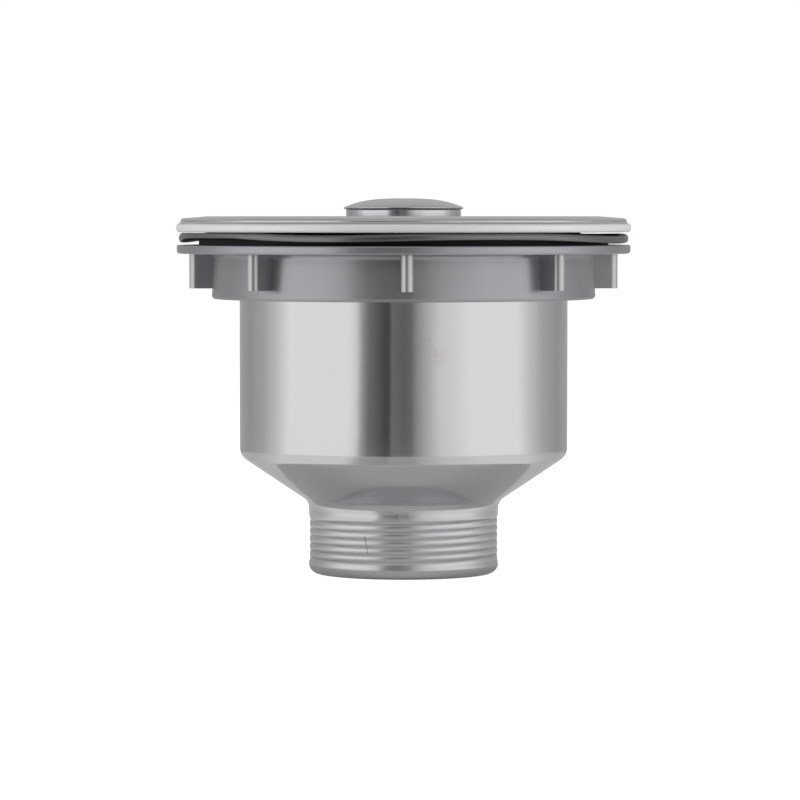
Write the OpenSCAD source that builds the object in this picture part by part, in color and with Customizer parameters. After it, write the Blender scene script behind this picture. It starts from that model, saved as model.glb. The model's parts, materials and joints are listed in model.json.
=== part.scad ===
// Kitchen sink basket strainer waste: a deep drawn cup with a wide flange, a plastic lug nut
// that clamps it to the sink, and a lift-out perforated basket with a stopper under it.
// Millimetres. +Z is up, and the origin is the centre of the outlet's lower rim.
// The viewer of the product picture stands on the -Y side.

/* [Drawn body] */
// Thickness of the stainless sheet of the body
sheet_t = 0.8; // [0.7:0.05:0.9]
// Diameter of the flange over its rolled edge
flange_d = 114; // [113.5:0.5:115]
// Height of the flange's crown above the outlet's rim
flange_top = 89.5; // [89:0.25:91]
// Height of the rolled edge, from its lower to its upper side
edge_h = 1.9; // [1.9:0.05:2.1]
// Height of the rolled edge's upper side below the crown
edge_drop = 2.05; // [2:0.05:2.2]
// Diameter of the flange's upright shoulder above the rolled edge
shoulder_d = 111.8; // [111.6:0.1:112]
// Diameter at which the crown is highest
crown_d = 98; // [97:0.5:99]
// Diameter of the crown's inner edge, where the mouth starts to fall
mouth_d = 94.4; // [94:0.2:95]
// Diameter of the band that carries the nut's thread, at the thread's mean height
thread_d = 86; // [86:0.1:86.4]
// Lower end of the threaded band
thread_low = 71.2; // [70.5:0.1:71.6]
// Diameter of the cup below the threaded band
cup_d = 82.2; // [82:0.1:82.6]
// Height of the corner between the cup and the cone
cup_corner = 29.6; // [29:0.1:30]
// Height of the corner between the cone and the outlet
neck_corner = 17.8; // [17.5:0.1:18]
// Diameter of the outlet over its thread's crests
outlet_d = 47.6; // [47.4:0.1:47.8]
// Radius of the bends above and below the cone
bend_r = 4.5; // [4:0.1:5]
// Radius of the outlet's rounded lower rim
lip_r = 2.4; // [2.2:0.1:2.5]
// Diameter of the opening in the outlet's lower rim
lip_d = 41.2; // [41:0.1:41.6]

/* [Lock nut] */
// Height of the nut's upper face
nut_top = 82.35; // [82.3:0.05:82.4]
// Thickness of the nut's flange
nut_flange_t = 2.15; // [2:0.05:2.4]
// Diameter of the nut's flange
nut_flange_d = 113.6; // [113:0.2:114]
// Height of the nut's lower face
nut_bottom = 68.85; // [68.5:0.05:69.5]
// Diameter of the nut's barrel under the flange
barrel_top_d = 94.8; // [94.4:0.1:95.2]
// Diameter of the nut's barrel at its foot
barrel_foot_d = 96.2; // [95.8:0.1:96.6]
// Number of lugs round the nut
lug_count = 8; // [6:1:10]
// Width of a lug
lug_w = 3; // [2.6:0.1:3.4]
// Diameter over the lugs' round outer edges
lug_d = 107.4; // [106:0.2:108]
// Height of the lugs' lower ends
lug_low = 71.45; // [71:0.05:72]
// Turn of the lugs from the front, in degrees
lug_turn = 0.9; // [0:0.1:5]
// Radial gap between the nut's thread and the body's
nut_gap = 0.08; // [0.05:0.01:0.1]
// Diameter of the recess that holds the friction ring
recess_d = 101; // [100:0.2:101.4]

/* [Gaskets] */
// Thickness of the friction ring
friction_t = 0.8; // [0.6:0.1:1]
// Thickness of the firm clamping gasket
clamp_t = 1.3; // [1.2:0.05:1.3]
// Diameter of the firm clamping gasket
clamp_d = 102.6; // [102:0.2:103]
// Bore of the friction ring and the clamping gasket
ring_bore_d = 87.6; // [87.4:0.1:88]
// Thickness of the soft gasket under the flange
soft_t = 1.45; // [1.4:0.05:1.5]
// Diameter of the soft gasket
soft_d = 112.6; // [112:0.2:113]
// Bore of the soft gasket
soft_bore_d = 90.4; // [90:0.2:92]

/* [Basket] */
// Thickness of the basket's sheet
basket_t = 0.6; // [0.5:0.05:0.7]
// Height of the basket's floor
basket_floor = 28; // [27.8:0.1:28.4]
// Height of the basket's rolled rim, at its middle
basket_rim = 70.4; // [69:0.2:71]
// Diameter inside the basket just below its rim
basket_top_d = 75; // [74:0.2:75.2]
// Diameter inside the basket where its wall meets its floor
basket_low_d = 70; // [69:0.5:71]
// Radius of the bend between the basket's wall and floor
basket_bend_r = 7; // [6:0.5:8]
// Diameter of the drain holes in the basket's wall
wall_hole_d = 4; // [3.4:0.2:4.2]
// Number of drain holes in one row of the wall
wall_holes = 24; // [20:2:26]
// Number of rows of drain holes in the wall
wall_rows = 5; // [3:1:5]
// Diameter of the drain holes in the basket's floor
floor_hole_d = 3.4; // [3:0.2:3.6]

/* [Post and knob] */
// Diameter of the lift post
post_d = 8; // [7.8:0.1:8]
// How far the basket lifts before the catch holds it
lift = 8; // [7:0.5:8]
// Height of the knob's top
knob_top = 94; // [93.5:0.1:94.5]
// Diameter of the knob
knob_d = 30; // [29.5:0.1:30.5]
// Height of the knob's rim
knob_rim = 91.45; // [91.2:0.05:91.6]
// Thickness of the knob's pressed cap
cap_t = 0.6; // [0.5:0.05:0.7]

/* [Outlet cross] */
// Height of the guide bush's lower end
bush_low = 5.5; // [5.4:0.1:5.8]
// Height of the guide bush's upper end
bush_high = 14.5; // [14.2:0.1:14.6]
// Outside diameter of the guide bush
bush_d = 13; // [12.6:0.1:13]
// Width of one arm of the cross
arm_w = 5; // [4:0.2:5]
// Thickness of the cross
arm_t = 1.5; // [1.2:0.1:1.8]
// Radial gap between the post and its guide
guide_gap = 0.08; // [0.05:0.01:0.1]

/* [Hidden] */
$fn = 96;

cone_angle = atan2(cup_corner - neck_corner, (cup_d - outlet_d) / 2);
// Height by which the cone's inner face lies above its outer face, at a corner's own radius
inner_rise = sheet_t / cos(cone_angle) - sheet_t * tan(cone_angle);
outlet_r = outlet_d / 2;
bore_r = outlet_r - sheet_t;
cup_in_r = cup_d / 2 - sheet_t;
thread_in_r = thread_d / 2 - sheet_t;
edge_high = flange_top - edge_drop;
edge_low = edge_high - edge_h;
hem_w = 2.8;
nut_in_r = thread_d / 2 + nut_gap;
clamp_top = nut_top + clamp_t;
// Waves of the soft gasket's free edge: waves round the ring, height and phase of each
soft_waves = [[1, 0.25, -62], [4, 0.2, 136], [5, 0.27, 80], [6, 0.15, -72]];
soft_mean = flange_top - 6.22;
soft_flat_r = 51.6;
soft_steps = 90;

post_r = post_d / 2;
post_low = 1.2;
catch_z = 11.5;
groove_z = catch_z - lift;
catch_wire = 1;
catch_gap = 0.3;
collar_r = 6.5;
collar_high = 18.8;
seal_low = 20;
seal_high = 23.5;
seal_r = 30.2;
seal_gap = 0.4;
plate_r = 22;
plate_high = 24.3;
spacer_r = 8;
washer_r = 9.5;
washer_high = basket_floor + basket_t + 0.8;
basket_nut_h = 5;
basket_nut_af = 13;
post_high = 86;
stem_r = 5.6;
stem_low = 80;
bell_r = knob_d / 2 - cap_t;
cavity_r = stem_r + 1.5;
cavity_floor = knob_rim - 3.4;
cap_lip = 0.8;
cap_steps = 10;
// Radius of the plastic filler, and the line of its top, which the cap's lower side follows
filler_r = bell_r - 1.2;
filler_top = [for (i = [0:cap_steps]) let (r = filler_r * i / cap_steps) [r, cap_under(r)]];

// Unit vector along v
function unit(v) = v / norm(v);
// Vector v turned a quarter to the left
function left(v) = [-v[1], v[0]];
// Sine of the turn from direction a to direction b, positive to the left
function turn(a, b) = a[0] * b[1] - a[1] * b[0];
// Place of a path's corner without its radius
function at(path, i) = [path[i][0], path[i][1]];
// Direction of the stretch that leaves corner i
function heading(path, i) = unit(at(path, i + 1) - at(path, i));

// Corner i of a path, moved to the left by t with its bend's centre kept
function moved_corner(path, i, t) =
    let (last = len(path) - 1,
         a = heading(path, i == 0 ? 0 : i - 1),
         b = heading(path, i == last ? last - 1 : i),
         shift = (left(a) + left(b)) * t / (1 + a * b),
         bend = path[i][2] == 0 ? 0 : path[i][2] - sign(turn(a, b)) * t)
    [path[i][0] + shift[0], path[i][1] + shift[1], bend];
function moved(path, t) = [for (i = [0:len(path) - 1]) moved_corner(path, i, t)];

// Points of the bend of radius r at corner p, between the points before and after it
function bend(before, p, after, r, steps = 7) =
    let (a = unit(before - p),
         b = unit(after - p),
         half = acos(a * b) / 2,
         centre = p + unit(a + b) * r / sin(half),
         start = p + a * r / tan(half) - centre,
         sweep = (turn(a, b) > 0 ? -1 : 1) * (180 - 2 * half))
    [for (i = [0:steps]) centre + rotated(start, sweep * i / steps)];
function rotated(v, a) = [v[0] * cos(a) - v[1] * sin(a), v[0] * sin(a) + v[1] * cos(a)];

// Points of an open path of [radius, height, bend radius] corners
function drawn(path) =
    [for (i = [0:len(path) - 1])
        each (path[i][2] == 0 ? [at(path, i)]
                              : bend(at(path, i - 1), at(path, i), at(path, i + 1), path[i][2]))];

// Solid of revolution of a sheet of thickness t that lies to the left of a path
module spun_sheet(path, t) {
    rotate_extrude()
        polygon(concat(drawn(path), reversed(drawn(moved(path, t)))));
}
function reversed(list) = [for (i = [len(list) - 1:-1:0]) list[i]];

// Flat ring of inner radius r0 and outer radius r1, from height z0 to z1
module ring(r0, r1, z0, z1) {
    rotate_extrude()
        translate([r0, z0])
            square([r1 - r0, z1 - z0]);
}

// Height of the cone's inner face at radius r
function cone_inside(r) = neck_corner + inner_rise + (r - bore_r) * tan(cone_angle);

// Flange, threaded band, cup, cone and outlet, drawn from one disc of sheet
module strainer_cup() {
    wet_side = [
        [flange_d / 2 - hem_w, edge_low, 0],
        [flange_d / 2, edge_low, edge_h / 2 - 0.01],
        [flange_d / 2, edge_high, edge_h / 2 - 0.01],
        [shoulder_d / 2, edge_high, 0.1],
        [shoulder_d / 2, flange_top - 0.55, 1.3],
        [crown_d / 2, flange_top, 12],
        [mouth_d / 2, flange_top, 2.5],
        [thread_in_r, flange_top - 5.3, 2.5],
        [thread_in_r, thread_low, 1.5],
        [cup_in_r, thread_low - 1.6, 1.5],
        [cup_in_r, cup_corner + inner_rise, bend_r - sheet_t],
        [bore_r, neck_corner + inner_rise, bend_r + sheet_t],
        [bore_r, sheet_t, lip_r - sheet_t],
        [lip_d / 2, sheet_t, 0]
    ];
    color("lightsteelblue")
        spun_sheet(wet_side, sheet_t);
}

// Four-armed cross with a band that is spot welded inside the outlet
module outlet_cross() {
    arm_z = bush_low + 1;
    band_t = 1.2;
    band_h = 5;
    color("silver") {
        ring(bore_r - band_t, bore_r, arm_z, arm_z + band_h);
        difference() {
            intersection() {
                union() {
                    translate([-bore_r, -arm_w / 2, arm_z])
                        cube([2 * bore_r, arm_w, arm_t]);
                    translate([-arm_w / 2, -bore_r, arm_z])
                        cube([arm_w, 2 * bore_r, arm_t]);
                }
                cylinder(r = bore_r - band_t / 2, h = bush_high);
            }
            translate([0, 0, arm_z - 1])
                cylinder(d = bush_d, h = arm_t + 2);
        }
    }
}

// Bush that guides the lift post, with a groove inside for the catch ring
module guide_bush() {
    groove_h = catch_wire + 0.2;
    edge = 0.6;
    color("gainsboro")
        rotate_extrude()
            difference() {
                polygon([
                    [post_r + guide_gap, bush_low],
                    [bush_d / 2 - edge, bush_low],
                    [bush_d / 2, bush_low + edge],
                    [bush_d / 2, bush_high - edge],
                    [bush_d / 2 - edge, bush_high],
                    [post_r + guide_gap, bush_high]
                ]);
                translate([0, catch_z - groove_h / 2])
                    square([post_r + catch_gap + catch_wire + 0.2, groove_h]);
            }
}

// Open ring of spring wire that snaps into the post's groove when the basket is lifted
module catch_ring() {
    gap_angle = 50;
    color("dimgray")
        rotate([0, 0, gap_angle / 2])
            rotate_extrude(angle = 360 - gap_angle)
                translate([post_r + catch_gap + catch_wire / 2, catch_z])
                    circle(d = catch_wire, $fn = 32);
}

// Height of the soft gasket's lower outer edge at angle a from the front
function soft_edge(a) =
    soft_mean + soft_waves[0][1] * cos(soft_waves[0][0] * a - soft_waves[0][2])
              + soft_waves[1][1] * cos(soft_waves[1][0] * a - soft_waves[1][2])
              + soft_waves[2][1] * cos(soft_waves[2][0] * a - soft_waves[2][2])
              + soft_waves[3][1] * cos(soft_waves[3][0] * a - soft_waves[3][2]);

// Soft rubber gasket: flat where it lies on the firm one, and wavy at its free edge
module sink_gasket() {
    flat_low = clamp_top;
    rows = 6;
    section = function (a)
        [[soft_bore_d / 2, flat_low],
         [soft_flat_r, flat_low],
         [soft_d / 2, soft_edge(a)],
         [soft_d / 2, soft_edge(a) + soft_t],
         [soft_flat_r, flat_low + soft_t],
         [soft_bore_d / 2, flat_low + soft_t]];
    points = [for (i = [0:soft_steps - 1], p = section(360 * i / soft_steps))
        [p[0] * sin(360 * i / soft_steps), -p[0] * cos(360 * i / soft_steps), p[1]]];
    faces = [for (i = [0:soft_steps - 1], j = [0:rows - 1])
        let (k = (i + 1) % soft_steps, m = (j + 1) % rows)
        each [[i * rows + j, i * rows + m, k * rows + m],
              [i * rows + j, k * rows + m, k * rows + j]]];
    color("darkslategray")
        polyhedron(points, faces);
}

// Firm black gasket on top of the friction ring
module clamp_gasket() {
    color("black")
        ring(ring_bore_d / 2, clamp_d / 2, nut_top, clamp_top);
}

// Thin slippery ring that lets the nut turn without dragging the gaskets
module friction_ring() {
    color("whitesmoke")
        ring(ring_bore_d / 2, recess_d / 2 - 0.3, nut_top - friction_t, nut_top);
}

// One lug: a rib with a fully round outer edge, from the barrel out
module lug() {
    root_r = barrel_top_d / 2 - 1;
    round_r = lug_w / 2;
    translate([0, 0, lug_low])
        linear_extrude(nut_top - nut_flange_t / 2 - lug_low)
            union() {
                translate([-round_r, -(lug_d / 2 - round_r)])
                    square([lug_w, lug_d / 2 - round_r - root_r]);
                translate([0, -(lug_d / 2 - round_r)])
                    circle(r = round_r, $fn = 48);
            }
}

// Moulded nut: a wide flange, a slightly flared barrel and eight lugs to turn it by
module lock_nut() {
    flange_low = nut_top - nut_flange_t;
    flange_r = nut_flange_d / 2;
    fillet_r = 1.4;
    outline = [
        [nut_in_r, nut_bottom + 1, 0],
        [nut_in_r + 1, nut_bottom, 0],
        [barrel_foot_d / 2, nut_bottom, 0.9],
        [barrel_top_d / 2, flange_low, fillet_r],
        [flange_r, flange_low, 0.7],
        [flange_r, nut_top, 0.35],
        [recess_d / 2, nut_top, 0],
        [recess_d / 2, nut_top - friction_t, 0],
        [nut_in_r, nut_top - friction_t, 0]
    ];
    color("gray") {
        rotate_extrude()
            polygon(drawn(outline));
        for (i = [0:lug_count - 1])
            rotate([0, 0, lug_turn + i * 360 / lug_count])
                lug();
    }
}

// Drain holes round the basket's wall, each row turned by half a pitch from the next
module wall_hole_cutters() {
    first_row = basket_floor + 9.5;
    last_row = basket_rim - 7;
    for (row = [0:wall_rows - 1], i = [0:wall_holes - 1])
        rotate([0, 0, (i + row / 2) * 360 / wall_holes])
            translate([0, 0, first_row + row * (last_row - first_row) / max(1, wall_rows - 1)])
                rotate([90, 0, 0])
                    translate([0, 0, basket_low_d / 2 - 4])
                        cylinder(d = wall_hole_d, h = 10, $fn = 32);
}

// Drain holes in three circles of the basket's floor
module floor_hole_cutters() {
    for (circle_of = [[13, 8], [18.5, 14], [24, 20]])
        for (i = [0:circle_of[1] - 1])
            rotate([0, 0, (i + 0.5) * 360 / circle_of[1]])
                translate([circle_of[0], 0, basket_floor - 1])
                    cylinder(d = floor_hole_d, h = basket_t + 2, $fn = 32);
}

// Perforated bowl with a rolled rim
module basket_bowl() {
    rim_r = 1.1;
    rim_out = basket_top_d / 2 + basket_t + 2 * rim_r - 0.4;
    inside = [
        [rim_out - 1, basket_rim - rim_r, 0],
        [rim_out, basket_rim - rim_r, rim_r - 0.02],
        [rim_out, basket_rim + rim_r, rim_r - 0.02],
        [basket_top_d / 2, basket_rim + rim_r, rim_r - 0.1],
        [basket_low_d / 2, basket_floor + basket_t, basket_bend_r],
        [post_r + guide_gap, basket_floor + basket_t, 0]
    ];
    color("lightgray")
        difference() {
            spun_sheet(inside, basket_t);
            wall_hole_cutters();
            floor_hole_cutters();
        }
}

// Turned rod from the knob down through the basket and the guide bush
module lift_post() {
    tip = 0.8;
    groove_r = post_r - 0.6;
    groove_h = 1.4;
    color("silver")
        rotate_extrude()
            polygon([
                [0, post_low],
                [post_r - tip, post_low],
                [post_r, post_low + tip],
                [post_r, groove_z - groove_h / 2],
                [groove_r, groove_z - groove_h / 4],
                [groove_r, groove_z + groove_h / 4],
                [post_r, groove_z + groove_h / 2],
                [post_r, post_high - tip],
                [post_r - tip, post_high],
                [0, post_high]
            ]);
}

// Collar pressed on the post: it stops on the guide bush when the stopper is closed
module post_collar() {
    edge = 0.5;
    color("gainsboro")
        rotate_extrude()
            polygon([
                [post_r, bush_high],
                [collar_r - edge, bush_high],
                [collar_r, bush_high + edge],
                [collar_r, collar_high],
                [post_r, collar_high]
            ]);
}

// Dished washer that carries the rubber stopper
module seal_washer() {
    color("lightgray")
        rotate_extrude()
            polygon([
                [post_r, collar_high],
                [11, collar_high],
                [14, seal_low - 0.4],
                [14, seal_low],
                [post_r, seal_low]
            ]);
}

// Rubber stopper: its lower edge is bevelled to the slope of the cone that it closes
module stopper_seal() {
    bevel_r = bore_r + (seal_low - seal_gap - neck_corner - inner_rise) / tan(cone_angle);
    bevel_high = cone_inside(seal_r) + seal_gap;
    color("dimgray")
        rotate_extrude()
            polygon([
                [post_r, seal_low],
                [bevel_r, seal_low],
                [seal_r, bevel_high],
                [seal_r - 1.2, bevel_high + 0.6],
                [26, seal_high],
                [post_r, seal_high]
            ]);
}

// Stainless disc on top of the stopper
module seal_plate() {
    edge = 0.3;
    color("lightgray")
        rotate_extrude()
            polygon([
                [post_r, seal_high],
                [plate_r, seal_high],
                [plate_r, plate_high - edge],
                [plate_r - edge, plate_high],
                [post_r, plate_high]
            ]);
}

// Spacer that holds the basket's floor above the stopper, so that its holes stay open
module basket_spacer() {
    color("gainsboro")
        ring(post_r, spacer_r, plate_high, basket_floor);
}

module floor_washer() {
    color("lightgray")
        ring(post_r, washer_r, basket_floor + basket_t, washer_high);
}

// Hexagon nut that clamps the basket's floor, the spacer and the stopper together
module basket_nut() {
    corner_r = basket_nut_af / 2 / cos(30);
    color("silver")
        translate([0, 0, washer_high])
            difference() {
                cylinder(r = corner_r, h = basket_nut_h, $fn = 6);
                translate([0, 0, -1])
                    cylinder(r = post_r, h = basket_nut_h + 2);
            }
}

// Height of the knob's domed cap at radius r, on its upper and its lower side
function cap_over(r) = knob_rim + (knob_top - knob_rim) * (1 - pow(r / (knob_d / 2), 2));
function cap_under(r) = cap_over(r) - cap_t;

// Flared finger grip, turned to a trumpet shape, screwed onto the post
module knob_bell() {
    flare = [
        [post_r, stem_low, 0],
        [stem_r, stem_low, 0],
        [stem_r, stem_low + 3, 6],
        [stem_r + 3.2, knob_rim - 4.6, 7],
        [bell_r - 0.9, flange_top - 0.3, 8],
        [bell_r, knob_rim - cap_lip, 0],
        [bell_r, cap_under(bell_r), 0],
        [filler_r, cap_under(filler_r), 0],
        [cavity_r, cavity_floor, 0],
        [post_r, cavity_floor, 0]
    ];
    color("silver")
        rotate_extrude()
            polygon(drawn(flare));
}

// Plastic filler between the bell and the cap
module knob_filler() {
    color("dimgray")
        rotate_extrude()
            polygon(concat([[0, cavity_floor], [cavity_r, cavity_floor]], reversed(filler_top)));
}

// Domed stainless cap, pressed down over the bell's rim
module knob_cap() {
    edge = 0.15;
    cap_r = knob_d / 2;
    top_r = cap_r - 0.25;
    color("lightsteelblue")
        rotate_extrude()
            polygon(concat(
                filler_top,
                [[bell_r, cap_under(bell_r)], [bell_r, knob_rim - cap_lip],
                 [cap_r - edge, knob_rim - cap_lip], [cap_r, knob_rim - cap_lip + edge],
                 [cap_r, knob_rim + edge / 2]],
                [for (i = [cap_steps:-1:0]) let (r = top_r * i / cap_steps) [r, cap_over(r)]]));
}

strainer_cup();
outlet_cross();
guide_bush();
catch_ring();
sink_gasket();
clamp_gasket();
friction_ring();
lock_nut();
basket_bowl();
lift_post();
post_collar();
seal_washer();
stopper_seal();
seal_plate();
basket_spacer();
floor_washer();
basket_nut();
knob_bell();
knob_filler();
knob_cap();
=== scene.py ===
# %% [markdown]
# A kitchen sink basket strainer waste, dressed for its picture
#
# The construction model gives every piece at its real size and place. This notebook loads it as a
# fixed frame, sets up a small photo studio round it, and then gives each piece the surface that
# the real one has. Pieces that need more form than the construction model holds, such as the
# rolled threads, are modelled again here, exactly where the frame has them.

# %% Load the frame
import math

import bpy
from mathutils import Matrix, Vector
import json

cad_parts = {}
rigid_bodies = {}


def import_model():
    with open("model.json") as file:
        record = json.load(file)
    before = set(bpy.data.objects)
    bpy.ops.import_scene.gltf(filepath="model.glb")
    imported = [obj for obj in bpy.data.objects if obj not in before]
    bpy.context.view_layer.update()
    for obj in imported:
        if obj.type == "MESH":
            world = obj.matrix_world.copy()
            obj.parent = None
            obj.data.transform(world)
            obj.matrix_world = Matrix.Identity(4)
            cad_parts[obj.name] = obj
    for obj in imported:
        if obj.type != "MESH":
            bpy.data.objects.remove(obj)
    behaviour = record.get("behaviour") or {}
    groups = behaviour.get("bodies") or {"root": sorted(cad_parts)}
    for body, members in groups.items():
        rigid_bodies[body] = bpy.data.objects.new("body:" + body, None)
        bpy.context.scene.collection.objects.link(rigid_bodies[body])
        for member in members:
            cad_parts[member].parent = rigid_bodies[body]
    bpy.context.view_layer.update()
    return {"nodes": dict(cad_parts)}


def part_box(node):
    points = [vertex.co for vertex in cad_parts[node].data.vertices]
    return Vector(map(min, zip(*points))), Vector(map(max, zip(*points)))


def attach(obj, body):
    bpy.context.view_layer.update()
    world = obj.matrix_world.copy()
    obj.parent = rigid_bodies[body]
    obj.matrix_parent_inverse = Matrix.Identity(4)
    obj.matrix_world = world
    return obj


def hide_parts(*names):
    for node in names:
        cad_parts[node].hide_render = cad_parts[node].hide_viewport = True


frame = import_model()
nodes = frame["nodes"]
MM = 0.001

# %% [markdown]
# The camera
#
# The product picture was taken from the front, a metre away and level with the sink flange, with a
# long lens. A long lens far away keeps the rings of the waste almost flat, as they are in the
# picture. So the camera stands at the flange's height and looks down by two and a half degrees.

# %% Place the camera
CAMERA_PLACE = (-0.0009, -1.03, 0.08895)
CAMERA_DOWN = math.radians(2.532)
CAMERA_LENS = 184.7

bpy.ops.object.camera_add(location=CAMERA_PLACE, rotation=(math.pi / 2 - CAMERA_DOWN, 0, 0))
camera = bpy.context.object
camera.name = "camera"
camera.data.lens = CAMERA_LENS
bpy.context.scene.camera = camera
bpy.context.scene.view_settings.view_transform = "Standard"
print("camera:", CAMERA_LENS, "mm lens,", abs(CAMERA_PLACE[1]), "m away")

# %% [markdown]
# Shader nodes as arithmetic
#
# A material that is worth looking at is a sum of small patterns, and sums are easier to read as
# formulas than as boxes and wires. The class Value wraps one output of a node. Adding or
# multiplying two of them adds the Math node that does it, so that 1 - mask is a line of code. The
# class Finish holds one material. Its method node() makes every other kind of node.


# %% Wrap sockets and materials
class Value:
    """A number that a node works out at each point of a surface."""

    def __init__(self, finish, socket):
        self.finish = finish
        self.socket = socket

    def math(self, operation, *others):
        return self.finish.node("ShaderNodeMath", {"operation": operation}, (self, *others))

    def __add__(self, other):
        return self.math("ADD", other)

    def __sub__(self, other):
        return self.math("SUBTRACT", other)

    def __mul__(self, other):
        return self.math("MULTIPLY", other)

    def __rsub__(self, other):
        return self.finish.node("ShaderNodeMath", {"operation": "SUBTRACT"}, (other, self))

    __radd__ = __add__
    __rmul__ = __mul__

    def between(self, low, high):
        """0 below low, 1 above high, with a smooth step between them."""
        return self.finish.node(
            "ShaderNodeMapRange", {"interpolation_type": "SMOOTHSTEP"}, (self, low, high, 0.0, 1.0)
        )


class Finish:
    """One material with a Principled shader."""

    def __init__(self, name, **constants):
        self.material = bpy.data.materials.new(name)
        self.material.use_nodes = True
        self.tree = self.material.node_tree
        self.shader = self.tree.nodes["Principled BSDF"]
        for socket_name, constant in constants.items():
            self.shader.inputs[socket_name.replace("_", " ")].default_value = constant

    def feed(self, socket, given):
        """Sets a socket to a number, a colour or a vector, or links a Value or a socket to it."""
        if isinstance(given, Value):
            self.tree.links.new(given.socket, socket)
        elif isinstance(given, bpy.types.NodeSocket):
            self.tree.links.new(given, socket)
        else:
            socket.default_value = given

    def node(self, kind, settings=None, sockets=(), output=0):
        """Adds a node: settings first, then its sockets, by order in a tuple or by name in a dict."""
        made = self.tree.nodes.new(kind)
        for setting, chosen in (settings or {}).items():
            setattr(made, setting, chosen)
        pairs = sockets.items() if isinstance(sockets, dict) else enumerate(sockets)
        for key, given in pairs:
            self.feed(made.inputs[key], given)
        return Value(self, made.outputs[output])

    def place(self):
        """The x, y and z of a point of the surface, in millimetres."""
        at = self.node("ShaderNodeTexCoord", output="Object")
        apart = self.node("ShaderNodeSeparateXYZ", sockets=(at,))
        outputs = apart.socket.node.outputs
        return [Value(self, outputs[axis]) * (1 / MM) for axis in "XYZ"]

    def point(self, x, y, z):
        return self.node("ShaderNodeCombineXYZ", sockets=(x, y, z))

    def noise(self, where, scale, detail=2.0, rough=0.5):
        sockets = {"Vector": where, "Scale": scale, "Detail": detail, "Roughness": rough}
        return self.node("ShaderNodeTexNoise", {}, sockets)

    def colours(self, share, first, second):
        """Mixes two colours by a share from 0 to 1."""
        made = self.node("ShaderNodeMix", {"data_type": "RGBA"}, {0: share}, output=2)
        self.feed(made.socket.node.inputs[6], first)
        self.feed(made.socket.node.inputs[7], second)
        return made

    def bump(self, height, depth_mm):
        """Feeds the surface's normal from a height that is given in shares of depth_mm."""
        sockets = {"Strength": 1.0, "Distance": depth_mm * MM, "Height": height}
        self.feed(self.shader.inputs["Normal"], self.node("ShaderNodeBump", {}, sockets))

    def set(self, socket_name, given):
        self.feed(self.shader.inputs[socket_name], given)


def grey(level, blue=0.0):
    """A neutral colour, or one that leans a little to blue."""
    return (level, level, level * (1 + blue), 1.0)


# %% [markdown]
# The studio: world, floor and lamps
#
# Polished steel has hardly any colour of its own. It shows the room, and so the room is half of
# the model. The picture has a pure white background, so the world is white for the camera and for
# everything that metal or clear plastic reflects, but dimmer as a light, so that the lamps can
# shape the rubber and the plastic. The floor is white too. It glows for the camera only, just
# enough to meet the background without a horizon, and it keeps the shadow under the waste.

# %% Make the world
WORLD_LIGHT = 0.28
SHOWN_RAYS = ("Is Camera Ray", "Is Glossy Ray", "Is Transmission Ray")

world = bpy.data.worlds.new("studio")
bpy.context.scene.world = world
world.use_nodes = True
sky = world.node_tree
background = sky.nodes["Background"]
rays = sky.nodes.new("ShaderNodeLightPath")
shown = rays.outputs[SHOWN_RAYS[0]]
for ray in SHOWN_RAYS[1:]:
    either = sky.nodes.new("ShaderNodeMath")
    either.operation = "MAXIMUM"
    sky.links.new(shown, either.inputs[0])
    sky.links.new(rays.outputs[ray], either.inputs[1])
    shown = either.outputs[0]
strength = sky.nodes.new("ShaderNodeMapRange")
strength.inputs["To Min"].default_value = WORLD_LIGHT
strength.inputs["To Max"].default_value = 1.0
sky.links.new(shown, strength.inputs["Value"])
sky.links.new(strength.outputs["Result"], background.inputs["Strength"])
background.inputs["Color"].default_value = grey(1.0)
print("world: white to look at,", WORLD_LIGHT, "as a light")

# %% Lay the floor
FLOOR_SIZE = 8.0
FLOOR_GLOW = 0.8

bpy.ops.mesh.primitive_plane_add(size=FLOOR_SIZE)
floor = bpy.context.object
floor.name = "floor"
floor_finish = Finish("white_floor", Base_Color=grey(0.8), Roughness=0.9)
floor_finish.set("Specular IOR Level", 0.0)
looked_at = floor_finish.node("ShaderNodeLightPath", output="Is Camera Ray")
glow = floor_finish.node("ShaderNodeEmission", {}, {"Color": grey(1.0), "Strength": FLOOR_GLOW})
both = floor_finish.node("ShaderNodeAddShader", {}, (floor_finish.shader.outputs[0], glow))
kept = floor_finish.node(
    "ShaderNodeMixShader", {}, (looked_at, floor_finish.shader.outputs[0], both)
)
floor_finish.feed(floor_finish.tree.nodes["Material Output"].inputs["Surface"], kept)
floor.data.materials.append(floor_finish.material)

# %% Hang the lamps
LAMPS = {
    "left_lamp": ((-0.9, -0.3, 0.35), 0.6, 4.0),
    "right_lamp": ((0.9, -0.3, 0.35), 0.6, 4.0),
    "top_lamp": ((0.0, 0.1, 1.1), 0.9, 3.0),
}
AIM = Vector((0, 0, 0.05))

for name, (place, size, power) in LAMPS.items():
    turn = (AIM - Vector(place)).to_track_quat("-Z", "Y").to_euler()
    bpy.ops.object.light_add(type="AREA", location=place, rotation=turn)
    lamp = bpy.context.object
    lamp.name = name
    lamp.data.size = size
    lamp.data.energy = power
    lamp.visible_glossy = False
    lamp.visible_camera = False
print("lamps:", ", ".join(LAMPS))

# %% [markdown]
# Cards that the steel reflects
#
# Photographers stand white, grey and black cards round a shiny object, because their mirror images
# are what draws its form. The broad dark stripe down the cup is one black card beside the camera,
# and the bright stretches at its sides are two white walls. Each card here is a grid that is rolled
# to a piece of a round wall. It glows by itself, it is seen in reflections only, and it casts no
# shadow. Angles are counted from the camera's side, to the left below zero and to the right above.
# Over the wall there is a duller one with a ceiling. The floor in front of the wall carries its
# tones on, because the lower half of the cup looks down to there. Nearer to the object lies an
# apron of paler and softer tones, which the cone and the outlet show.

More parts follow.
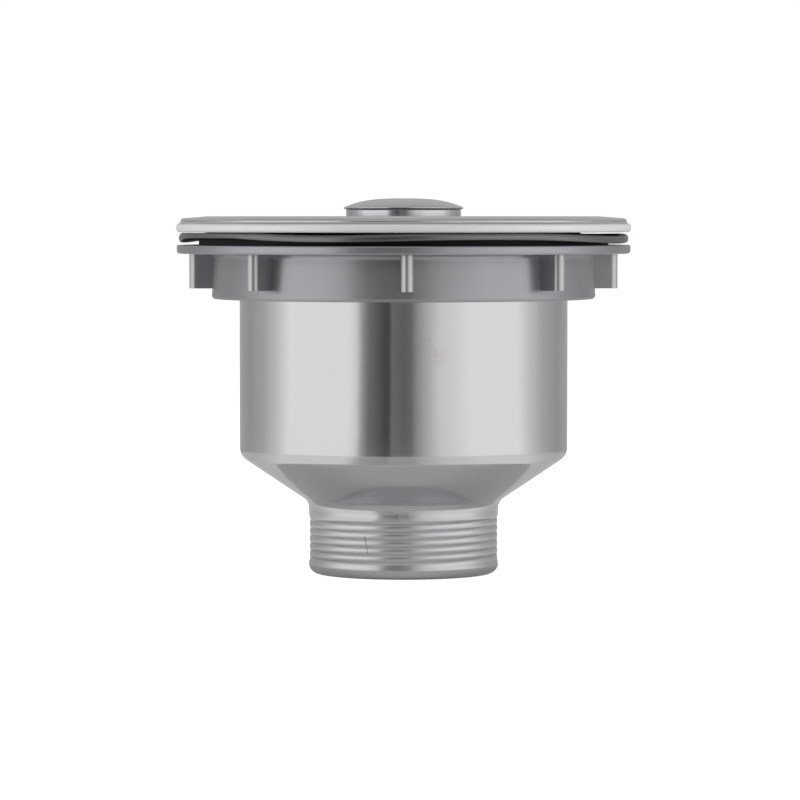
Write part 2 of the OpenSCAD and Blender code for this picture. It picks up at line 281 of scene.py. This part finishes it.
# %% Stand the cards round the object
WALL_RADIUS = 0.45
WALL_HEIGHT = 0.2
# Angle from the camera's side in degrees, and the brightness of the wall there
WALL_STOPS = [
    (-180, 0.44), (-132, 0.38), (-110, 0.5), (-94, 0.74), (-83, 1.0), (-37, 1.0), (-31.5, 0.85),
    (-27.5, 0.4), (-23.5, 0.2), (-12, 0.08), (-8.8, 0.08), (-8.2, 0.2), (0, 0.15), (5, 0.18),
    (9, 0.35), (17, 0.6), (24, 0.8), (34, 0.88), (46, 1.0), (83, 1.0), (94, 0.74), (110, 0.5),
    (132, 0.38), (180, 0.44),
]
UPPER_HEIGHT = 0.5
UPPER_LEVEL = 0.5
CEILING_LEVEL = 0.45
FLOOR_RADIUS = 0.24
APRON_RADIUS = 0.05
CARD_RAISE = 0.0005
# The apron's brightness beside a black and a white wall
APRON_LEVELS = (0.34, 0.8)
CARD_STEPS = 24
STAIN = 0.07


def card_finish(name, first, last):
    """A glow that changes along the card, with faint stains as on real card."""
    finish = Finish(name)
    along = finish.node("ShaderNodeSeparateXYZ", {}, (finish.node("ShaderNodeUVMap"),))
    x, y, z = finish.place()
    stains = finish.noise(finish.point(x * 0.02, y * 0.02, z * 0.03), 1.0, 3.0, 0.6)
    level = along * (last - first) + first + (stains - 0.5) * STAIN
    glow = finish.node("ShaderNodeEmission", {}, {"Color": grey(1.0), "Strength": level})
    finish.feed(finish.tree.nodes["Material Output"].inputs["Surface"], glow)
    return finish.material


def only_in_reflections(item):
    item.visible_camera = False
    item.visible_diffuse = False
    item.visible_transmission = False
    item.visible_volume_scatter = False
    item.visible_shadow = False


def stand_card(name, angles, inner, outer, levels):
    """Rolls a grid to a piece of a ring, from one (radius, height) to another."""
    bpy.ops.mesh.primitive_grid_add(x_subdivisions=CARD_STEPS, y_subdivisions=1, size=1)
    item = bpy.context.object
    item.name = name
    for vertex in item.data.vertices:
        share_along = vertex.co.x + 0.5
        share_out = vertex.co.y + 0.5
        angle = math.radians(angles[0] + (angles[1] - angles[0]) * share_along)
        radius = inner[0] + (outer[0] - inner[0]) * share_out
        height = inner[1] + (outer[1] - inner[1]) * share_out
        vertex.co = (radius * math.sin(angle), -radius * math.cos(angle), height)
    item.data.materials.append(card_finish(name, *levels))
    only_in_reflections(item)


apron_end = (APRON_RADIUS, CARD_RAISE)
floor_end = (FLOOR_RADIUS, CARD_RAISE)
wall_foot = (WALL_RADIUS, CARD_RAISE)
wall_head = (WALL_RADIUS, WALL_HEIGHT)
for number, (first_stop, last_stop) in enumerate(zip(WALL_STOPS, WALL_STOPS[1:])):
    angles, levels = zip(first_stop, last_stop)
    stand_card("wall_" + str(number), angles, wall_foot, wall_head, levels)
    stand_card("floor_" + str(number), angles, floor_end, wall_foot, levels)
    softer = [APRON_LEVELS[0] + (APRON_LEVELS[1] - APRON_LEVELS[0]) * level for level in levels]
    stand_card("apron_" + str(number), angles, apron_end, floor_end, softer)
ROUND = (-180, 180)
upper_head = (WALL_RADIUS, UPPER_HEIGHT)
stand_card("upper_wall", ROUND, wall_head, upper_head, (UPPER_LEVEL, UPPER_LEVEL))
stand_card("ceiling", ROUND, (0, UPPER_HEIGHT), upper_head, (CEILING_LEVEL, CEILING_LEVEL))
print("cards:", 3 * len(WALL_STOPS) - 1)

# %% [markdown]
# The finishes
#
# Four kinds of surface make this waste. The drawn and polished sheet of the body and the basket
# has very fine rings from polishing on a lathe. Turned parts have coarser rings. Rubber is matt
# and soft in its highlights. The nut is a silvery grey moulding, whose fine flakes make it gleam
# like dull metal.


# %% Mix the steels
WAVE_MM = 6.0
WAVE_DEPTH_MM = 0.02


def steel(name, level, roughness, ring_mm, ring_depth_mm, patch=0.04, marks=None):
    """Stainless steel with fine rings round the part's axis and faint cloudy patches."""
    finish = Finish(name, Metallic=1.0)
    x, y, z = finish.place()
    rings = finish.noise(finish.point(x * 0.02, y * 0.02, z * (1 / ring_mm)), 1.0, 3.0, 0.6)
    clouds = finish.noise(finish.point(x * 0.08, y * 0.08, z * 0.08), 1.0, 3.0, 0.6)
    waves = finish.noise(finish.point(x, y, z), 1 / WAVE_MM, 2.0, 0.5)
    shade = (clouds - 0.5) * patch * 2 + 0.5 + (rings - 0.5) * 0.25
    colour = finish.colours(shade, grey(level * 0.93, 0.01), grey(level * 1.07, 0.012))
    dullness = (rings - 0.5) * 0.04 + (clouds - 0.5) * 0.05 + roughness
    if marks:
        colour, dullness = marks(finish, x, y, z, colour, dullness)
    finish.set("Base Color", colour)
    finish.set("Roughness", dullness)
    finish.bump(rings * (ring_depth_mm / WAVE_DEPTH_MM) + waves, WAVE_DEPTH_MM)
    return finish


# %% [markdown]
# Marks on the body
#
# The body isn't the same all over. The rolled edge was brushed after the polishing and is duller.
# Its steel is painted paler and less metallic there too, a painted sheen for the bright reflections
# that its round section catches. The outlet lost its polish where the thread was rolled. Two
# scratches cross it, and two faint smudges of handling lie on the cup. Each mark is a mask: a number
# from 0 to 1 that a few sums make from a point's place.

# %% Mix the body's steel
EDGE_R = 54.0
EDGE_LOW = 85.2
EDGE_HIGH = 87.6
# Painted sheen of the rolled edge: a paler colour and a lower metallic share, for the bright
# reflections that its round section catches
EDGE_PAINTED_SHEEN = grey(0.86)
EDGE_ROUGHNESS = 0.55
EDGE_METAL = 0.35
# Height of the outlet's rolled stretch, and how much duller it is
ROLLED_TOP = 14.0
ROLLED_DULL = 0.2
# Upper and lower end of each scratch on the front, as (x, z) in millimetres
SCRATCHES = [((-1.6, 16.9), (-1.6, 14.2)), ((-9.7, 11.2), (-8.7, 5.8))]
SCRATCH_W = 0.16
# Middle (x, z) and radius of each smudge on the front
SMUDGES = [(5.1, 58.5, 2.6), (8.8, 55.4, 3.0)]
SMUDGE_COLOUR = (0.66, 0.59, 0.55, 1.0)


def body_marks(finish, x, y, z, colour, dullness):
    """Adds the body's marks, and the rolled edge's painted sheen, to the colour and the roughness of
    its steel.
    """
    front = 1 - y.between(-1.0, 1.0)
    rim = (x * x + y * y).between(EDGE_R**2, (EDGE_R + 0.6) ** 2)
    edge = rim * z.between(EDGE_LOW - 0.2, EDGE_LOW) * (1 - z.between(EDGE_HIGH - 0.2, EDGE_HIGH))
    # The rolled edge's paler colour and lower metallic share are a painted sheen; its higher
    # roughness is real
    colour = finish.colours(edge, colour, EDGE_PAINTED_SHEEN)
    dullness = dullness * (1 - edge) + edge * EDGE_ROUGHNESS
    finish.set("Metallic", 1 - edge * (1 - EDGE_METAL))
    dullness = dullness + (1 - z.between(ROLLED_TOP - 0.6, ROLLED_TOP)) * ROLLED_DULL
    for (top_x, top_z), (foot_x, foot_z) in SCRATCHES:
        lean = (top_x - foot_x) / (top_z - foot_z)
        aside = x - (z - foot_z) * lean - foot_x
        within = z.between(foot_z, foot_z + 0.6) * (1 - z.between(top_z - 0.6, top_z))
        line = (1 - (aside * aside).between(0.0, SCRATCH_W**2)) * within * front
        colour = finish.colours(line * 0.7, colour, grey(0.2))
        dullness = dullness + line * 0.25
    for smudge_x, smudge_z, size in SMUDGES:
        away = (x - smudge_x) * (x - smudge_x) + (z - smudge_z) * (z - smudge_z)
        ragged = finish.noise(finish.point(x, y, z), 0.9, 3.0, 0.6)
        blot = (1 - away.between(0.0, size**2)) * front * ragged.between(0.3, 0.7)
        colour = finish.colours(blot * 0.3, colour, SMUDGE_COLOUR)
        dullness = dullness + blot * 0.2
    return colour, dullness


body_steel = steel("body_steel", 0.67, 0.09, 0.35, 0.0012, marks=body_marks)
basket_steel = steel("basket_steel", 0.67, 0.12, 0.4, 0.002)
turned_steel = steel("turned_steel", 0.62, 0.2, 0.18, 0.008)
cross_steel = steel("cross_steel", 0.6, 0.3, 1.2, 0.005)
spring_steel = steel("spring_steel", 0.42, 0.3, 0.5, 0.002)
knob_steel = steel("knob_steel", 0.64, 0.12, 0.3, 0.003)
cap_steel = steel("cap_steel", 0.64, 0.1, 0.3, 0.0005)


# %% Mix the rubbers and plastics
def moulded(name, colour, roughness, grain_mm, grain_depth_mm, metallic=0.0, ior=1.5, painted_highlight=None):
    """Rubber or plastic with a fine grain and slow changes of tone, and, if given, a painted
    highlight on an outer edge.
    """
    finish = Finish(name, Metallic=metallic, IOR=ior)
    x, y, z = finish.place()
    fine = finish.noise(finish.point(x, y, z), 1 / grain_mm, 4.0, 0.6)
    slow = finish.noise(finish.point(x, y, z), 0.09, 2.0, 0.5)
    dark = [channel * 0.88 for channel in colour[:3]] + [1.0]
    light = [channel * 1.12 for channel in colour[:3]] + [1.0]
    shade = finish.colours(slow * 0.7 + fine * 0.3, dark, light)
    # A painted highlight: a paler band round the outer edge below a height, for the bright bars that
    # a rounded edge reflects
    if painted_highlight:
        radius, height, highlight_colour = painted_highlight
        edge = (x * x + y * y).between(radius**2, (radius + 0.4) ** 2)
        shade = finish.colours(edge * (1 - z.between(height - 0.3, height)), shade, highlight_colour)
    finish.set("Base Color", shade)
    finish.set("Roughness", (fine - 0.5) * 0.08 + (slow - 0.5) * 0.08 + roughness)
    finish.bump(fine, grain_depth_mm)
    return finish


# A painted highlight on the lugs' outer edges: their radius, their upper end, and the bright colour
LUG_PAINTED_HIGHLIGHT = (52.0, 80.2, grey(0.56))

soft_rubber = moulded("soft_rubber", (0.022, 0.022, 0.025), 0.26, 0.5, 0.003, ior=2.5)
black_rubber = moulded("black_rubber", (0.012, 0.012, 0.013), 0.6, 0.4, 0.02)
ring_plastic = moulded("ring_plastic", (0.72, 0.72, 0.7), 0.4, 0.8, 0.005)
nut_plastic = moulded("nut_plastic", (0.4, 0.4, 0.42), 0.3, 0.35, 0.002, 0.85, painted_highlight=LUG_PAINTED_HIGHLIGHT)
filler_plastic = moulded("filler_plastic", (0.05, 0.05, 0.055), 0.45, 0.5, 0.01)

# %% [markdown]
# Tools for round pieces
#
# Nearly every piece of the waste is round, because it was drawn, turned or moulded about one axis.
# On a lathe the shape is an outline, and here it is too: a single point is extruded along the
# outline and the line is spun once round the axis. An outline is written as a drawing has it, by
# its corners, each with the radius of its bend. rounded() puts the bends in.


# %% Draw an outline and spin it
ARC_STEP = math.radians(11)
SHARP_ANGLE = math.radians(40)
SEGMENTS = 256


def rounded(corners):
    """Points (radius, height) in millimetres of a path of (radius, height, bend radius) corners."""
    points = []
    for index, (r, z, bend) in enumerate(corners):
        here = Vector((r, z))
        if bend == 0:
            points.append(here)
            continue
        back = (Vector(corners[index - 1][:2]) - here).normalized()
        ahead = (Vector(corners[(index + 1) % len(corners)][:2]) - here).normalized()
        half = math.acos(back.dot(ahead)) / 2
        centre = here + (back + ahead).normalized() * bend / math.sin(half)
        first = here + back * bend / math.tan(half) - centre
        sweep = math.pi - 2 * half
        side = 1 if back.x * ahead.y - back.y * ahead.x < 0 else -1
        steps = max(2, math.ceil(sweep / ARC_STEP))
        for step in range(steps + 1):
            turn = side * sweep * step / steps
            cosine, sine = math.cos(turn), math.sin(turn)
            turned = (first.x * cosine - first.y * sine, first.x * sine + first.y * cosine)
            points.append(centre + Vector(turned))
    return points


def with_rows(points, low, high, step):
    """The same path, with more points where it runs between two heights."""
    dense = [points[0]]
    for start, end in zip(points, points[1:]):
        inside = min(start.y, end.y) < high and max(start.y, end.y) > low
        count = math.ceil((end - start).length / step) if inside else 1
        dense += [start.lerp(end, (part + 1) / count) for part in range(count)]
    return dense


def start_editing():
    """An empty new mesh object in edit mode, with one vertex at the origin."""
    bpy.ops.object.select_all(action="DESELECT")
    bpy.ops.mesh.primitive_plane_add(size=MM)
    bpy.ops.object.mode_set(mode="EDIT")
    bpy.ops.mesh.select_all(action="SELECT")
    bpy.ops.mesh.merge(type="CENTER")
    return bpy.context.object


def lathe(name, points, closed=False):
    """Spins an outline of (radius, height) points once round the axis."""
    piece = start_editing()
    piece.name = name
    first = points[0]
    bpy.ops.transform.translate(value=(first.x * MM, 0, first.y * MM))
    path = points[1:] + ([first] if closed else [])
    for before, after in zip([first] + path, path):
        step = ((after.x - before.x) * MM, 0, (after.y - before.y) * MM)
        bpy.ops.mesh.extrude_region_move(TRANSFORM_OT_translate={"value": step})
    bpy.ops.mesh.select_all(action="SELECT")
    bpy.ops.mesh.spin(steps=SEGMENTS, angle=math.tau, center=(0, 0, 0), axis=(0, 0, 1))
    bpy.ops.mesh.select_all(action="SELECT")
    bpy.ops.mesh.remove_doubles(threshold=0.0005 * MM)
    bpy.ops.mesh.normals_make_consistent(inside=False)
    bpy.ops.object.mode_set(mode="OBJECT")
    return piece


def thicken(piece, thickness):
    """Gives a sheet its thickness, on the side that its faces turn away from."""
    wall = piece.modifiers.new("wall", "SOLIDIFY")
    wall.thickness = thickness * MM
    wall.offset = -1.0
    wall.use_even_offset = True
    bpy.ops.object.modifier_apply(modifier=wall.name)


def smooth(piece):
    """Shades a piece smooth and leaves its sharp edges sharp."""
    bpy.ops.object.select_all(action="DESELECT")
    piece.select_set(True)
    bpy.context.view_layer.objects.active = piece
    bpy.ops.object.shade_smooth_by_angle(angle=SHARP_ANGLE)


def hand_over(piece, body, node, finish):
    """Gives a finished piece its material and its body, and hides the node that it stands for."""
    piece.data.materials.clear()
    piece.data.materials.append(finish.material)
    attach(piece, body)
    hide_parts(node)
    print(piece.name + ":", len(piece.data.polygons), "faces, for", node)


def step_up(value, low, high):
    """0 below low, 1 above high, smooth between."""
    share = min(1.0, max(0.0, (value - low) / (high - low)))
    return share * share * (3 - 2 * share)


# %% [markdown]
# The drawn body
#
# The body is one disc of stainless sheet, 0.8 mm thick. It was pressed to a cup in several steps,
# its edge was rolled under to a smooth hem, and both threads were rolled into the finished wall. So
# the model does the same: one outline, spun, then the threads pushed into the wall as a helix, and
# only then the thickness, so that the inside shows the threads too.

# %% Measure the body in the frame
body_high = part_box("strainer_cup")[1]
SHEET = 0.8
flange_r = body_high.x / MM
flange_top = body_high.z / MM
hem_high = flange_top - 2.05
hem_low = hem_high - 1.9
shoulder_r = 55.9
thread_in_r = 42.2
thread_low = 71.2
cup_in_r = 40.3
cup_corner = 29.6
neck_corner = 18.0
bore_r = 23.0
cone_rise = 0.42
print("body:", round(2 * flange_r, 2), "mm wide,", round(flange_top, 2), "mm high")

# %% Spin the body and roll its threads
WET_SIDE = [
    (flange_r - 2.8, hem_low, 0),
    (flange_r, hem_low, 0.94),
    (flange_r, hem_high - 0.12, 0.85),
    (shoulder_r, hem_high + 0.45, 0.45),
    (shoulder_r, flange_top - 0.55, 0.82),
    (49.0, flange_top, 12),
    (47.2, flange_top, 2.5),
    (thread_in_r, flange_top - 5.3, 2.5),
    (thread_in_r, thread_low, 1.5),
    (cup_in_r, thread_low - 1.6, 1.5),
    (cup_in_r, cup_corner + cone_rise, 2.9),
    (bore_r, neck_corner + cone_rise, 3.9),
    (bore_r, SHEET, 1.6),
    (20.6, SHEET, 0),
]
OUTLET_THREAD = {"low": 2.4, "high": 15.0, "pitch": 1.9, "depth": 0.42, "sunk": 0.2, "fade": 1.2}
BODY_THREAD = {"low": 71.6, "high": 84.0, "pitch": 3.0, "depth": 0.5, "sunk": 0.0, "fade": 1.5}
# A higher power leaves broader crests between narrower grooves
GROOVE_POWER = 2
# Height of one row of faces in each thread
OUTLET_ROW = 0.22
BODY_ROW = 0.32


def roll_thread(piece, low, high, pitch, depth, sunk, fade):
    """Presses a right-hand helical groove into a wall between two heights."""
    for vertex in piece.data.vertices:
        x, y, z = vertex.co / MM
        if not low < z < high:
            continue
        turn = z / pitch - math.atan2(y, x) / math.tau
        strength = step_up(z, low, low + fade) * step_up(-z, -high, fade - high)
        groove = strength * (sunk + depth * (0.5 - 0.5 * math.cos(math.tau * turn)) ** GROOVE_POWER)
        radius = math.hypot(x, y)
        vertex.co.x *= (radius - groove) / radius
        vertex.co.y *= (radius - groove) / radius


outline = with_rows(rounded(WET_SIDE), OUTLET_THREAD["low"], OUTLET_THREAD["high"], OUTLET_ROW)
outline = with_rows(outline, BODY_THREAD["low"], BODY_THREAD["high"], BODY_ROW)
drawn_body = lathe("drawn_body", outline)
top_face = max(drawn_body.data.polygons, key=lambda face: face.center.z)
if top_face.normal.z < 0:
    drawn_body.data.flip_normals()
roll_thread(drawn_body, **OUTLET_THREAD)
roll_thread(drawn_body, **BODY_THREAD)
thicken(drawn_body, SHEET)
smooth(drawn_body)
hand_over(drawn_body, "drain_body", "strainer_cup", body_steel)

# %% [markdown]
# The soft gasket
#
# Before the nut is tightened, the soft ring under the flange lies loose: its free edge rises and
# falls in long waves. Its section is a strip with round edges, which is spun and then lifted by the
# sum of four waves. The waves grow with the radius, so that the inner part stays flat on the firm
# ring below, as it does on the real one. The edge swells until it nearly meets the flange's edge
# above, and it never sinks into the nut.

# %% Spin and wave the gasket
SOFT_THICK = 1.45
SOFT_FLAT_R = 51.6
SOFT_MEAN = flange_top - 6.22
# Waves round the ring: how many, height in millimetres, phase in degrees
SOFT_WAVES = [(1, 0.25, -62), (4, 0.2, 136), (5, 0.27, 80), (6, 0.15, -72)]

# Growth of the waves and the most that the edge swells, in millimetres, with the gap that it keeps
WAVE_GROWTH = 1.5
SWELL = 0.5
SOFT_GAP = 0.08

soft_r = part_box("sink_gasket")[1].x / MM
soft_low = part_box("clamp_gasket")[1].z / MM
nut_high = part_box("lock_nut")[1].z / MM


def soft_edge(angle):
    """Height of the gasket's lower outer edge at an angle from the front, towards the right."""
    lifted = sum(
        height * math.cos(count * angle - math.radians(phase)) for count, height, phase in SOFT_WAVES
    )
    highest = hem_low - SOFT_GAP - SOFT_THICK
    return min(highest, max(nut_high + SOFT_GAP, SOFT_MEAN + WAVE_GROWTH * lifted))


SOFT_SECTION = [
    (45.2, soft_low, 0.25),
    (soft_r, soft_low, 0.62),
    (soft_r, soft_low + SOFT_THICK, 0.62),
    (45.2, soft_low + SOFT_THICK, 0.25),
]
around = rounded(SOFT_SECTION)
around = with_rows(around + around[:1], soft_low - 1, soft_low + 3, 0.8)[:-1]
soft_gasket = lathe("soft_gasket", around, closed=True)
for vertex in soft_gasket.data.vertices:
    x, y, z = vertex.co / MM
    radius = math.hypot(x, y)
    if radius > SOFT_FLAT_R:
        edge = soft_edge(math.atan2(x, -y))
        swell = min(SWELL, hem_low - SOFT_GAP - SOFT_THICK - edge) * (z - soft_low) / SOFT_THICK
        share = (radius - SOFT_FLAT_R) / (soft_r - SOFT_FLAT_R)
        vertex.co.z += (edge - soft_low + swell) * share * MM
smooth(soft_gasket)
hand_over(soft_gasket, "clamp_stack", "sink_gasket", soft_rubber)

# %% [markdown]
# The knob
#
# The knob is a turned bell with a pressed cap on it. The cap is a low dome, whose rim stands out
# over a short skirt that grips the bell. The construction model has the same two pieces in a
# plainer form, so here they are spun again in their places. The dome is flat in the middle and
# falls away near the rim, which a third power of the radius gives.

# %% Spin the bell and its cap
cap_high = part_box("knob_cap")[1]
bell_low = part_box("knob_bell")[0]
filler_low, filler_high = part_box("knob_filler")
knob_r = cap_high.x / MM
knob_top = cap_high.z / MM
KNOB_RIM = 91.75
RIM_H = 0.3
SKIRT_R = 14.4
CAP_T = 0.6
POST_R = 4.0
STEM_R = 5.6
CAVITY_R = 7.1
FILLER_EDGE = 91.42
DOME_STEPS = 16
SKIRT_ROW = 0.15
skirt_low = flange_top - 0.6
dome_end = knob_r - 0.2
stem_low = bell_low.z / MM
cavity_floor = filler_low.z / MM
filler_r = filler_high.x / MM
inside_r = SKIRT_R - CAP_T


def dome(radius):
    """Height of the cap's upper side at a radius."""
    return KNOB_RIM + (knob_top - KNOB_RIM) * (1 - (radius / knob_r) ** 3)


def dome_points(radius, drop):
    """Points of the dome, or of its lower side, from the axis to a radius."""
    steps = [radius * step / DOME_STEPS for step in range(DOME_STEPS + 1)]
    return [Vector((step, dome(step) - drop)) for step in steps]


CAP_SIDE = [
    (dome_end, dome(dome_end), 0),
    (knob_r, KNOB_RIM - 0.05, 0.12),
    (knob_r, KNOB_RIM - RIM_H, 0.1),
    (SKIRT_R, KNOB_RIM - 2 * RIM_H, 0.14),
    (SKIRT_R, skirt_low, 0.15),
    (inside_r, skirt_low, 0),
]
BELL_SECTION = [
    (POST_R, stem_low, 0),
    (STEM_R, stem_low, 0),
    (STEM_R, stem_low + 3, 6),
    (STEM_R + 3.2, skirt_low - 2.05, 5),
    (inside_r - 1.25, skirt_low - 0.9, 2),
    (inside_r, skirt_low, 0),
    (inside_r, dome(inside_r) - CAP_T, 0),
    (filler_r, FILLER_EDGE, 0),
    (CAVITY_R, cavity_floor, 0),
    (POST_R, cavity_floor, 0),
]
side = with_rows(rounded(CAP_SIDE), skirt_low, KNOB_RIM, SKIRT_ROW)
underside = dome_points(inside_r, CAP_T)[::-1]
domed_cap = lathe("domed_cap", dome_points(dome_end, 0)[:-1] + side + underside)
smooth(domed_cap)
hand_over(domed_cap, "basket", "knob_cap", cap_steel)
turned_bell = lathe("turned_bell", rounded(BELL_SECTION), closed=True)
smooth(turned_bell)
hand_over(turned_bell, "basket", "knob_bell", knob_steel)

# %% Dress the pieces that keep their construction shape
FINISH_OF = {
    "outlet_cross": cross_steel,
    "guide_bush": turned_steel,
    "catch_ring": spring_steel,
    "clamp_gasket": black_rubber,
    "friction_ring": ring_plastic,
    "lock_nut": nut_plastic,
    "basket_bowl": basket_steel,
    "lift_post": turned_steel,
    "post_collar": turned_steel,
    "seal_washer": basket_steel,
    "stopper_seal": black_rubber,
    "seal_plate": basket_steel,
    "basket_spacer": turned_steel,
    "floor_washer": basket_steel,
    "basket_nut": turned_steel,
    "knob_filler": filler_plastic,
}

for name, finish in FINISH_OF.items():
    node = nodes[name]
    node.data.materials.clear()
    node.data.materials.append(finish.material)
print("dressed:", len(FINISH_OF), "pieces of the frame")

# %% Import json
import json
